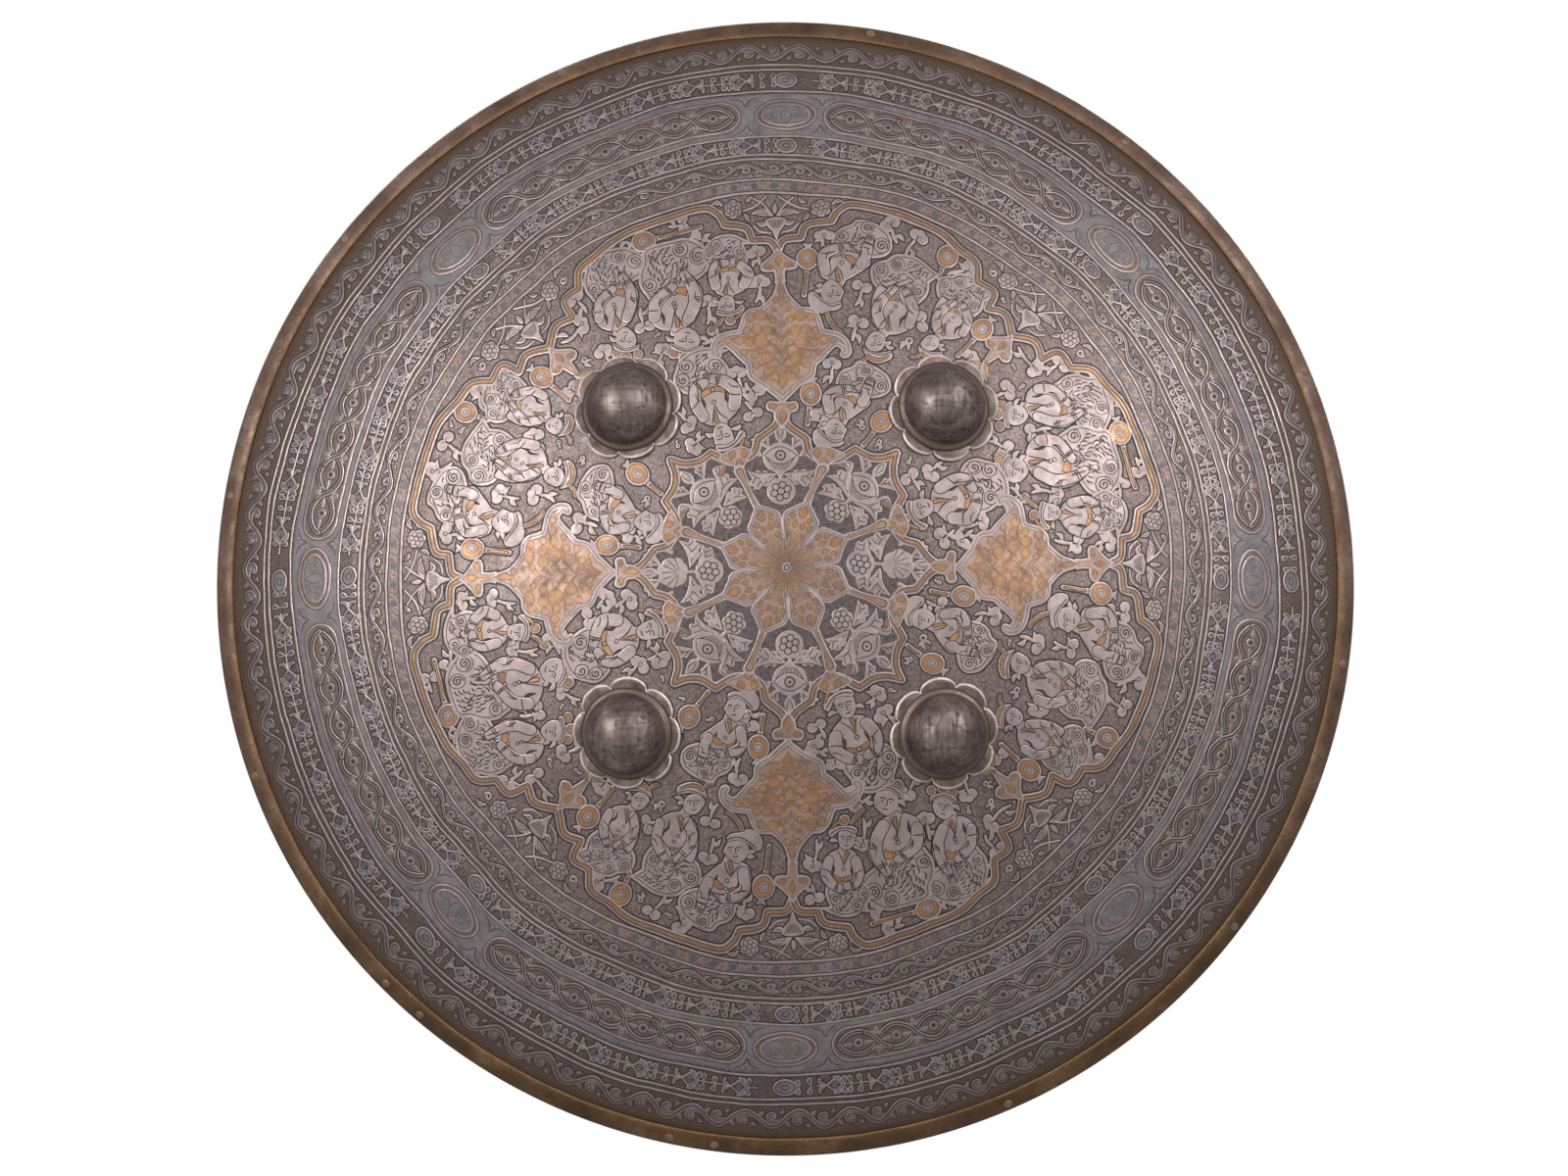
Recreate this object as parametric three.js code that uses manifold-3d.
// A round steel shield with a brass-bound rim, four bosses and two swinging hand grips.
// It stands upright and faces -Y. The origin is the centre of the rim's back plane.

import * as THREE from 'three';
import { mergeVertices } from 'three/addons/utils/BufferGeometryUtils.js';
import Module from 'manifold-3d';

const wasm = await Module();
wasm.setup();

// Fits, in millimetres
const seatGap = 0.3;
const leatherGap = 0.5;
const washerGap = 0.75;
const cutOverrun = 3;

// Dish
const shieldDiameter = 480;
const dishCurvature = 380;
const plateThickness = 1.4;
const dishRings = 10;
const dishSides = 48;

// Rim binding: a brass strip folded round the dish's edge
const bindingWall = 1.0;
const bindingLip = 7.6;
const backLandWidth = 2.4;
const bindingEndSteps = 4;

// Rim rivets
const rivetAngles = [
  8.8, 37.5, 67.6, 98.2, 127.5, 156.9, 187.2, 191.8, 220.2, 224.9, 250.0, 279.0, 308.2, 336.5,
];
const rivetEdgeDistance = 2.6;
const rivetShankRadius = 0.9;
const rivetHeadRadius = 1.9;
const rivetHeadHeight = 0.7;
const rivetSides = 6;

// Bosses: a hollow dome on an eight-petalled plate, at the corners of a rectangle
const bossHalfSpacingX = 64.5;
const bossHalfSpacingZ = 66.6;
const domeRadius = 16.2;
const domeHeight = 15.5;
const domeWall = 1.2;
const domeFootRadius = 18.2;
const domeFootHeight = 1.2;
const domeSides = 16;
const domeSteps = 4;
const petalCount = 8;
const petalTipRadius = 22.6;
const petalValleyRadius = 19.6;
const petalThickness = 1.0;
const petalSteps = 4;
const petalRings = 1;
const petalRoundness = 0.55;

// Staples: an eye behind the dish, on a shank that runs up into the dome
const shankRadius = 2.4;
const eyeRadius = 5.0;
const eyeWire = 1.8;
const eyeSteps = 16;
const wireSides = 6;
const washerRadius = 11;
const washerThickness = 1.2;
const washerSides = 16;

// Rings that hang in the eyes
const ringRadius = 10;
const ringWire = 1.4;
const ringSteps = 20;

// Grips: a padded leather bow between two rings
const gripLeanDegrees = 38;
const gripLeaveDegrees = 28;
const loopWire = 1.5;
const loopHoleRadius = 2.4;
const loopSteps = 12;
const stemRadius = 3.0;
const stemLength = 9.5;
const collarWall = 2.6;
const collarLength = 8.4;
const collarSides = 10;
const gripEndRadius = 5.6;
const gripMiddleRadius = 8.0;
const gripSwellLength = 14;
const gripSteps = 16;
const gripSides = 10;

// Leather base and knuckle pad
const baseWaist = 50;
const baseTongueMargin = 1.5;
const baseThickness = 2.0;
const baseTonguePower = 6;
const baseSides = 40;
const baseRings = 4;
const padHalfWidth = 45;
const padCrown = 16;
const padEdgeThickness = 5;
const padSquareness = 4.5;
const padDrawnInShare = 0.06;
const padCrownPower = 2.6;
const padSides = 32;
const padRings = 4;

// Sizes that follow from the ones above
const radians = THREE.MathUtils.degToRad;
const innerCurvature = dishCurvature - plateThickness;
const middleCurvature = dishCurvature - plateThickness / 2;
const bindingHalf = plateThickness / 2 + seatGap + bindingWall;
const endCentreRadius = shieldDiameter / 2 - bindingHalf;
const endCentreY = -Math.sqrt(bindingHalf ** 2 - (backLandWidth / 2) ** 2);
const endAngle = Math.asin(endCentreRadius / middleCurvature);
const sphereCentreY = endCentreY + middleCurvature * Math.cos(endAngle);
const plateEdgeAngle = endAngle - seatGap / middleCurvature;
const lipAngle = endAngle - bindingLip / middleCurvature;
const bossDistance = Math.hypot(bossHalfSpacingX, bossHalfSpacingZ);
const holeClearance = seatGap;

// A point on the sphere of the given curvature, at an angle from the shield's axis
function onSphere(curvature, angle) {
  return new THREE.Vector2(
    curvature * Math.sin(angle),
    sphereCentreY - curvature * Math.cos(angle),
  );
}

// Signed volume of an indexed geometry
function volumeOf(positions, index) {
  const corners = [new THREE.Vector3(), new THREE.Vector3(), new THREE.Vector3()];
  let volume = 0;
  for (let face = 0; face < index.length; face += 3) {
    corners.forEach((corner, k) => corner.fromArray(positions, 3 * index[face + k]));
    volume += corners[0].dot(corners[1].cross(corners[2])) / 6;
  }
  return volume;
}

// A closed geometry with shared vertices and its faces pointing out
function closed(geometry) {
  const bare = geometry.clone();
  bare.deleteAttribute('normal');
  bare.deleteAttribute('uv');
  const merged = mergeVertices(bare);
  const positions = merged.attributes.position.array;
  const index = [];
  const source = merged.index.array;
  for (let face = 0; face < source.length; face += 3) {
    const [a, b, c] = source.slice(face, face + 3);
    if (a !== b && b !== c && c !== a) index.push(a, b, c);
  }
  if (volumeOf(positions, index) < 0) index.reverse();
  merged.setIndex(index);
  return merged;
}

// A geometry as a solid that can be joined and cut
function solidOf(geometry, matrix) {
  const shape = closed(geometry);
  if (matrix) shape.applyMatrix4(matrix);
  return new wasm.Manifold(
    new wasm.Mesh({
      numProp: 3,
      vertProperties: new Float32Array(shape.attributes.position.array),
      triVerts: new Uint32Array(shape.index.array),
    }),
  );
}

// The geometry of a solid after its cuts
function geometryOf(solid) {
  const mesh = solid.getMesh();
  const geometry = new THREE.BufferGeometry();
  geometry.setAttribute('position', new THREE.BufferAttribute(mesh.vertProperties, 3));
  geometry.setIndex(new THREE.BufferAttribute(mesh.triVerts, 1));
  return geometry;
}

// A turned body: the profile is a closed loop, or starts and ends on the axis
function turned(profile, sides, closedLoop) {
  const points = profile.map(([radius, height]) => new THREE.Vector2(radius, height));
  if (closedLoop) points.push(points[0].clone());
  return closed(new THREE.LatheGeometry(points, sides));
}

// A closed sheet over a polar grid. under and over give the point at an angle and a share of the way out
function polarSheet(sides, rings, innerShare, under, over) {
  const positions = [];
  const index = [];
  const firstRing = innerShare > 0 ? 0 : 1;
  const ringCount = rings + 1 - firstRing;
  [under, over].forEach((place) => {
    for (let ring = firstRing; ring <= rings; ring += 1) {
      const share = innerShare + ((1 - innerShare) * ring) / rings;
      for (let side = 0; side < sides; side += 1) {
        positions.push(...place((2 * Math.PI * side) / sides, share).toArray());
      }
    }
  });
  const at = (face, ring, side) => (face * ringCount + ring) * sides + (side % sides);
  const quad = (a, b, c, d) => index.push(a, b, c, a, c, d);
  for (let side = 0; side < sides; side += 1) {
    const next = side + 1;
    for (let ring = 0; ring < ringCount - 1; ring += 1) {
      quad(at(0, ring, side), at(0, ring, next), at(0, ring + 1, next), at(0, ring + 1, side));
      quad(at(1, ring, side), at(1, ring + 1, side), at(1, ring + 1, next), at(1, ring, next));
    }
    const last = ringCount - 1;
    quad(at(0, last, side), at(0, last, next), at(1, last, next), at(1, last, side));
    if (innerShare > 0) {
      quad(at(0, 0, side), at(1, 0, side), at(1, 0, next), at(0, 0, next));
    }
  }
  if (innerShare === 0) {
    [under, over].forEach((place, face) => {
      const centre = positions.length / 3;
      positions.push(...place(0, 0).toArray());
      for (let side = 0; side < sides; side += 1) {
        const rim = [at(face, 0, side), at(face, 0, side + 1)];
        index.push(centre, rim[face === 0 ? 1 : 0], rim[face === 0 ? 0 : 1]);
      }
    });
  }
  const geometry = new THREE.BufferGeometry();
  geometry.setAttribute('position', new THREE.Float32BufferAttribute(positions, 3));
  geometry.setIndex(index);
  return closed(geometry);
}

// A round body swept along a flat path in the XY plane, with a way and a radius for each point
function swept(path, ways, radii, sides) {
  const positions = [];
  const index = [];
  path.forEach((point, step) => {
    const along = ways[step];
    for (let side = 0; side < sides; side += 1) {
      const turn = (2 * Math.PI * side) / sides;
      const across = radii[step] * Math.cos(turn);
      positions.push(
        point.x - along.y * across,
        point.y + along.x * across,
        radii[step] * Math.sin(turn),
      );
    }
  });
  for (let step = 0; step < path.length - 1; step += 1) {
    for (let side = 0; side < sides; side += 1) {
      const a = step * sides + side;
      const b = step * sides + ((side + 1) % sides);
      index.push(a, b, b + sides, a, b + sides, a + sides);
    }
  }
  [path[0], path[path.length - 1]].forEach((end, last) => {
    const centre = positions.length / 3;
    const first = last * (path.length - 1) * sides;
    positions.push(end.x, end.y, 0);
    for (let side = 0; side < sides; side += 1) {
      const rim = [first + side, first + ((side + 1) % sides)];
      index.push(centre, rim[1 - last], rim[last]);
    }
  });
  const geometry = new THREE.BufferGeometry();
  geometry.setAttribute('position', new THREE.Float32BufferAttribute(positions, 3));
  geometry.setIndex(index);
  return closed(geometry);
}

// Materials
function material(colour, roughness, metalness) {
  return new THREE.MeshStandardMaterial({ color: colour, roughness, metalness });
}
const etchedSteel = material(0x8a7f7c, 0.42, 1);
const darkSteel = material(0x5a5250, 0.34, 1);
const petalSteel = material(0x76695f, 0.45, 1);
const brass = material(0x7a5c38, 0.48, 1);
const iron = material(0x4c4744, 0.5, 1);
const leather = material(0x4a2b1c, 0.7, 0);
const velvet = material(0x5e1c1a, 0.9, 0);
const thread = material(0x8c7a5a, 0.85, 0);

const shield = new THREE.Group();
shield.name = 'dhal_shield';

function add(parent, name, geometry, finish) {
  const mesh = new THREE.Mesh(geometry, finish);
  mesh.name = name;
  parent.add(mesh);
  return mesh;
}

// Where each boss stands: its sign in X and Z, its foot on the dish and the way it faces
const bosses = [
  { name: 'top_left', signX: -1, signZ: 1 },
  { name: 'top_right', signX: 1, signZ: 1 },
  { name: 'bottom_left', signX: -1, signZ: -1 },
  { name: 'bottom_right', signX: 1, signZ: -1 },
].map((boss) => {
  const footX = boss.signX * bossHalfSpacingX;
  const footZ = boss.signZ * bossHalfSpacingZ;
  const drop = Math.sqrt(dishCurvature ** 2 - bossDistance ** 2);
  const normal = new THREE.Vector3(footX, -drop, footZ).divideScalar(dishCurvature);
  const frame = new THREE.Group();
  frame.position.set(footX, sphereCentreY - drop, footZ);
  frame.quaternion.setFromUnitVectors(new THREE.Vector3(0, 1, 0), normal);
  frame.updateMatrix();
  return { ...boss, normal, frame };
});

// The height, from a boss's foot on the dish, of a sphere of the given curvature
function heightOver(curvature, distance) {
  return Math.sqrt(curvature ** 2 - distance ** 2) - dishCurvature;
}

// How far in a flat side of the turned dish lies, as a share of the round one, at a turn
function flatShare(turn) {
  const step = (2 * Math.PI) / dishSides;
  const fromMiddle = (turn % step) - step / 2;
  return Math.cos(step / 2) / Math.cos(fromMiddle);
}

// Each rivet's frame: its axis is square to the plate, and it turns clockwise from the top
const rivets = rivetAngles.map((degrees, place) => {
  const angle = plateEdgeAngle - rivetEdgeDistance / middleCurvature;
  const seat = onSphere(middleCurvature, angle);
  const turn = radians(degrees);
  const normal = new THREE.Vector3(
    Math.sin(angle) * Math.sin(turn),
    -Math.cos(angle),
    Math.sin(angle) * Math.cos(turn),
  );
  const frame = new THREE.Group();
  const reach = seat.x * flatShare(turn);
  frame.position.set(reach * Math.sin(turn), seat.y, reach * Math.cos(turn));
  frame.quaternion.setFromUnitVectors(new THREE.Vector3(0, 1, 0), normal);
  frame.updateMatrix();
  return { name: `rim_rivet_${String(place + 1).padStart(2, '0')}`, frame };
});

// A round cutter along a frame's own axis
function cutter(frame, radius, low, high, sides) {
  const hole = new THREE.CylinderGeometry(radius, radius, high - low, sides);
  hole.translate(0, (low + high) / 2, 0);
  return solidOf(hole, frame.matrix);
}

// Dish: a shallow dome with a hole at each boss and each rim rivet
function dishGeometry() {
  const angles = [0];
  for (let ring = 1; ring < dishRings; ring += 1) {
    angles.push((lipAngle * ring) / (dishRings - 1));
  }
  angles.push(plateEdgeAngle);
  const front = angles.map((angle) => onSphere(dishCurvature, angle).toArray());
  const back = angles.map((angle) => onSphere(innerCurvature, angle).toArray());
  let dish = solidOf(turned([...front, ...back.reverse()], dishSides, false));
  bosses.forEach(({ frame }) => {
    dish = dish.subtract(
      cutter(frame, shankRadius + holeClearance, -plateThickness - cutOverrun, cutOverrun, wireSides * 2),
    );
  });
  rivets.forEach(({ frame }) => {
    dish = dish.subtract(
      cutter(frame, rivetShankRadius + holeClearance, -cutOverrun, cutOverrun, rivetSides),
    );
  });
  return geometryOf(dish);
}

// Rim binding: a folded section with a rounded outer edge and a flat land at the back
function bindingGeometry() {
  const frontOuter = dishCurvature + seatGap + bindingWall;
  const backOuter = innerCurvature - seatGap - bindingWall;
  const section = [onSphere(frontOuter, lipAngle).toArray()];
  const startTurn = endAngle - Math.PI / 2;
  const landTurn = Math.asin(-endCentreY / bindingHalf);
  for (let step = 0; step <= bindingEndSteps; step += 1) {
    const turn = startTurn + ((landTurn - startTurn) * step) / bindingEndSteps;
    section.push([
      endCentreRadius + bindingHalf * Math.cos(turn),
      endCentreY + bindingHalf * Math.sin(turn),
    ]);
  }
  section.push([endCentreRadius - backLandWidth / 2, 0]);
  section.push(onSphere(backOuter, lipAngle).toArray());
  section.push(onSphere(innerCurvature - seatGap, lipAngle).toArray());
  section.push(onSphere(innerCurvature - seatGap, endAngle).toArray());
  section.push(onSphere(dishCurvature + seatGap, endAngle).toArray());
  section.push(onSphere(dishCurvature + seatGap, lipAngle).toArray());
  let binding = solidOf(turned(section, dishSides, true));
  const reach = bindingHalf + cutOverrun;
  rivets.forEach(({ frame }) => {
    binding = binding.subtract(
      cutter(frame, rivetShankRadius + holeClearance, -reach, reach, rivetSides),
    );
  });
  return geometryOf(binding);
}

// Rim rivet: a low head on each side of the binding
function rivetGeometry() {
  const seat = bindingHalf + seatGap;
  const top = seat + rivetHeadHeight;
  return turned(
    [
      [0, -top],
      [rivetHeadRadius, -seat],
      [rivetShankRadius, -seat],
      [rivetShankRadius, seat],
      [rivetHeadRadius, seat],
      [0, top],
    ],
    rivetSides,
    false,
  );
}

// Petal plate: a thin plate that follows the dish, with round petals and a hole for the shank
function petalGeometry() {
  const holeShare = (shankRadius + holeClearance) / petalTipRadius;
  const outline = (turn) => {
    const lobe = Math.abs(Math.sin((petalCount * turn) / 2)) ** petalRoundness;
    return petalValleyRadius + (petalTipRadius - petalValleyRadius) * lobe;
  };
  const layer = (curvature) => (turn, share) => {
    const reach = share <= holeShare ? petalTipRadius : outline(turn);
    const distance = share * reach;
    return new THREE.Vector3(
      distance * Math.cos(turn),
      heightOver(curvature, distance),
      distance * Math.sin(turn),
    );
  };
  const low = dishCurvature + seatGap;
  return polarSheet(
    petalCount * petalSteps, petalRings, holeShare, layer(low), layer(low + petalThickness),
  );
}

// Dome: a hollow shell with a turned-out foot
function domeGeometry() {
  const foot = heightOver(dishCurvature + seatGap + petalThickness, domeRadius - domeWall) + seatGap;
  const shoulder = foot + domeFootHeight;
  const profile = [[domeRadius - domeWall, foot], [domeFootRadius, foot]];
  const outside = [];
  const inside = [];
  for (let step = 0; step <= domeSteps; step += 1) {
    const turn = (Math.PI / 2) * (step / domeSteps);
    outside.push([domeRadius * Math.cos(turn), shoulder + (domeHeight - domeFootHeight) * Math.sin(turn)]);
    inside.push([
      (domeRadius - domeWall) * Math.cos(turn),
      shoulder + (domeHeight - domeFootHeight - domeWall) * Math.sin(turn),
    ]);
  }
  outside[domeSteps][0] = 0;
  inside[domeSteps][0] = 0;
  const shell = [...inside.reverse(), ...profile, ...outside];
  return { geometry: turned(shell, domeSides, false), crown: inside[0][1] };
}

// Where the washer and the eye lie behind the dish, along a boss's own axis
const tongueBack = innerCurvature - leatherGap - baseThickness;
const washerFront = heightOver(tongueBack, washerRadius) - washerGap;
const washerBack = washerFront - washerThickness;
const eyeDepth = seatGap + eyeRadius + eyeWire - washerBack;

function washerGeometry() {
  const bore = shankRadius + holeClearance;
  return turned(
    [
      [bore, washerBack],
      [washerRadius, washerBack],
      [washerRadius, washerFront],
      [bore, washerFront],
    ],
    washerSides,
    true,
  );
}

// The eye's centre, which is where its ring turns
function eyeCentre({ frame, normal }) {
  return frame.position.clone().addScaledVector(normal, -eyeDepth);
}

// Staple: the eye lies across the shield and its hole runs along Z
function stapleGeometry(boss, crown) {
  const centre = eyeCentre(boss);
  const eye = new THREE.TorusGeometry(eyeRadius, eyeWire, wireSides, eyeSteps);
  const placed = new THREE.Matrix4().makeTranslation(centre);
  const shankTop = crown - seatGap - shankRadius ** 2 / domeRadius;
  const shankFoot = washerBack - seatGap - eyeWire;
  const shank = cutter(boss.frame, shankRadius, shankFoot, shankTop, wireSides * 2);
  return geometryOf(solidOf(eye, placed).add(shank));
}

// The grip's own plane: X is the distance from the hinge line, Y is the height
const ringCentreX = eyeRadius - eyeWire - ringWire - seatGap + ringRadius;
const leave = radians(gripLeaveDegrees);
const leaveWay = new THREE.Vector2(Math.cos(leave), -Math.sin(leave));
const loopReach = ringRadius + loopHoleRadius - ringWire - seatGap;
const stemStart = loopReach + loopHoleRadius + loopWire;
const gripStart = stemStart + stemLength + seatGap;

function alongLeave(ringHeight, reach) {
  return new THREE.Vector2(ringCentreX, ringHeight).addScaledVector(leaveWay, reach);
}

// A frame at a reach from the ring's centre, with its Y axis along the way that the grip leaves
function leaveMatrix(ringHeight, reach) {
  const place = alongLeave(ringHeight, reach);
  const turn = new THREE.Matrix4().makeRotationZ(-leave - Math.PI / 2);
  return new THREE.Matrix4().makeTranslation(place.x, place.y, 0).multiply(turn);
}

function ringGeometry(ringHeight) {
  const ring = closed(new THREE.TorusGeometry(ringRadius, ringWire, wireSides, ringSteps));
  return ring.applyMatrix4(new THREE.Matrix4().makeTranslation(ringCentreX, ringHeight, 0));
}

// End loop: a leather eye round the ring, with a stem that the collar binds
function loopGeometry(ringHeight) {
  const eye = new THREE.TorusGeometry(loopHoleRadius + loopWire, loopWire, wireSides, loopSteps);
  eye.rotateY(Math.PI / 2);
  const stem = new THREE.CylinderGeometry(stemRadius, stemRadius, stemLength + loopWire, collarSides);
  stem.translate(0, stemStart - loopReach + (stemLength - loopWire) / 2, 0);
  const place = leaveMatrix(ringHeight, loopReach);
  const solid = solidOf(eye, place).add(solidOf(stem, place));
  return geometryOf(solid);
}

function collarGeometry(ringHeight) {
  const bore = stemRadius + seatGap;
  const middle = collarLength / 2;
  const collar = turned(
    [
      [bore, -middle],
      [bore + collarWall, -middle],
      [bore + collarWall, middle],
      [bore, middle],
    ],
    collarSides,
    true,
  );
  const reach = gripStart - seatGap - middle;
  return collar.applyMatrix4(leaveMatrix(ringHeight, reach));
}

// The bow leaves both rings alike and is a true arc between them
function gripGeometry(ringHeight) {
  const start = alongLeave(ringHeight, gripStart);
  const arcRadius = start.y / Math.cos(leave);
  const centreX = start.x - arcRadius * Math.sin(leave);
  const halfTurn = Math.PI / 2 - leave;
  const path = [];
  const ways = [];
  const radii = [];
  for (let step = 0; step <= gripSteps; step += 1) {
    const turn = halfTurn * (1 - (2 * step) / gripSteps);
    path.push(new THREE.Vector2(
      centreX + arcRadius * Math.cos(turn),
      arcRadius * Math.sin(turn),
    ));
    ways.push(new THREE.Vector2(Math.sin(turn), -Math.cos(turn)));
    const fromEnd = arcRadius * (halfTurn - Math.abs(turn));
    const swell = Math.min(fromEnd / gripSwellLength, 1);
    const ease = swell * swell * (3 - 2 * swell);
    radii.push(gripEndRadius + (gripMiddleRadius - gripEndRadius) * ease);
  }
  return swept(path, ways, radii, gripSides);
}

// Each grip, with its rings, loops and collars, hangs in a group that leans in from the hinge line
function addGrip(side, sign, eyeX, eyeY, eyeZ) {
  const swing = new THREE.Group();
  const lean = radians(gripLeanDegrees);
  const out = new THREE.Vector3(-sign * Math.sin(lean), Math.cos(lean), 0);
  const up = new THREE.Vector3(0, 0, 1);
  const across = new THREE.Vector3().crossVectors(out, up);
  const placed = new THREE.Matrix4().makeBasis(out, up, across);
  placed.setPosition(eyeX, eyeY, 0);
  swing.applyMatrix4(placed);
  add(swing, `${side}_grip`, gripGeometry(eyeZ), leather);
  const upright = new THREE.Matrix4();
  const mirrored = new THREE.Matrix4().makeRotationX(Math.PI);
  [['upper', upright], ['lower', mirrored]].forEach(([end, turn]) => {
    const place = (geometry) => geometry.applyMatrix4(turn);
    add(swing, `${side}_${end}_ring`, place(ringGeometry(eyeZ)), iron);
    add(swing, `${side}_${end}_loop`, place(loopGeometry(eyeZ)), leather);
    add(swing, `${side}_${end}_collar`, place(collarGeometry(eyeZ)), thread);
  });
  shield.add(swing);
}

// Leather base: a four-tongued patch inside the dish, one tongue under each washer
function baseGeometry() {
  const reach = bossDistance + washerRadius + baseTongueMargin;
  const bossTurn = Math.atan2(bossHalfSpacingZ, bossHalfSpacingX);
  // The tongues lie a little off the diagonals, because the bosses stand on a rectangle
  const evened = (turn) => turn - ((4 * bossTurn - Math.PI) / 4) * Math.sin(2 * turn);
  const layer = (curvature) => (turn, share) => {
    const tongue = Math.abs(Math.sin(2 * evened(turn))) ** baseTonguePower;
    const distance = share * (baseWaist + (reach - baseWaist) * tongue);
    return new THREE.Vector3(
      distance * Math.cos(turn),
      sphereCentreY - Math.sqrt(curvature ** 2 - distance ** 2),
      distance * Math.sin(turn),
    );
  };
  const front = innerCurvature - leatherGap;
  const sheet = polarSheet(baseSides, baseRings, 0, layer(front), layer(front - baseThickness));
  let base = solidOf(sheet);
  bosses.forEach(({ frame }) => {
    const depth = -plateThickness - leatherGap - baseThickness - cutOverrun;
    base = base.subtract(cutter(frame, shankRadius + holeClearance, depth, cutOverrun, wireSides * 2));
  });
  return geometryOf(base);
}

// Knuckle pad: a crowned square cushion whose sides pull in between its corners
function padGeometry() {
  const seatCurvature = tongueBack - leatherGap;
  const outline = (turn) => {
    const corner = Math.abs(Math.cos(turn)) ** padSquareness + Math.abs(Math.sin(turn)) ** padSquareness;
    const drawnIn = 1 - padDrawnInShare * Math.cos(2 * turn) ** 2;
    return padHalfWidth * drawnIn * corner ** (-1 / padSquareness);
  };
  const place = (turn, distance, rise) => new THREE.Vector3(
    distance * Math.cos(turn),
    sphereCentreY - Math.sqrt(seatCurvature ** 2 - distance ** 2) + rise,
    distance * Math.sin(turn),
  );
  const under = (turn, share) => place(turn, share * outline(turn), 0);
  const over = (turn, share) => {
    const rise = padEdgeThickness + (padCrown - padEdgeThickness) * (1 - share ** padCrownPower);
    return place(turn, share * outline(turn), rise);
  };
  return polarSheet(padSides, padRings, 0, under, over);
}

add(shield, 'dish', dishGeometry(), etchedSteel);
add(shield, 'rim_binding', bindingGeometry(), brass);
rivets.forEach(({ name, frame }) => {
  add(frame, name, rivetGeometry(), brass);
  shield.add(frame);
});

bosses.forEach((boss) => {
  const dome = domeGeometry();
  add(boss.frame, `${boss.name}_boss_dome`, dome.geometry, darkSteel);
  add(boss.frame, `${boss.name}_petal_plate`, petalGeometry(), petalSteel);
  add(boss.frame, `${boss.name}_washer`, washerGeometry(), iron);
  shield.add(boss.frame);
  add(shield, `${boss.name}_staple`, stapleGeometry(boss, dome.crown), iron);
});

add(shield, 'pad_base', baseGeometry(), leather);
add(shield, 'knuckle_pad', padGeometry(), velvet);

const topRightEye = eyeCentre(bosses[1]);
addGrip('left', -1, -topRightEye.x, topRightEye.y, topRightEye.z);
addGrip('right', 1, topRightEye.x, topRightEye.y, topRightEye.z);

export default shield;
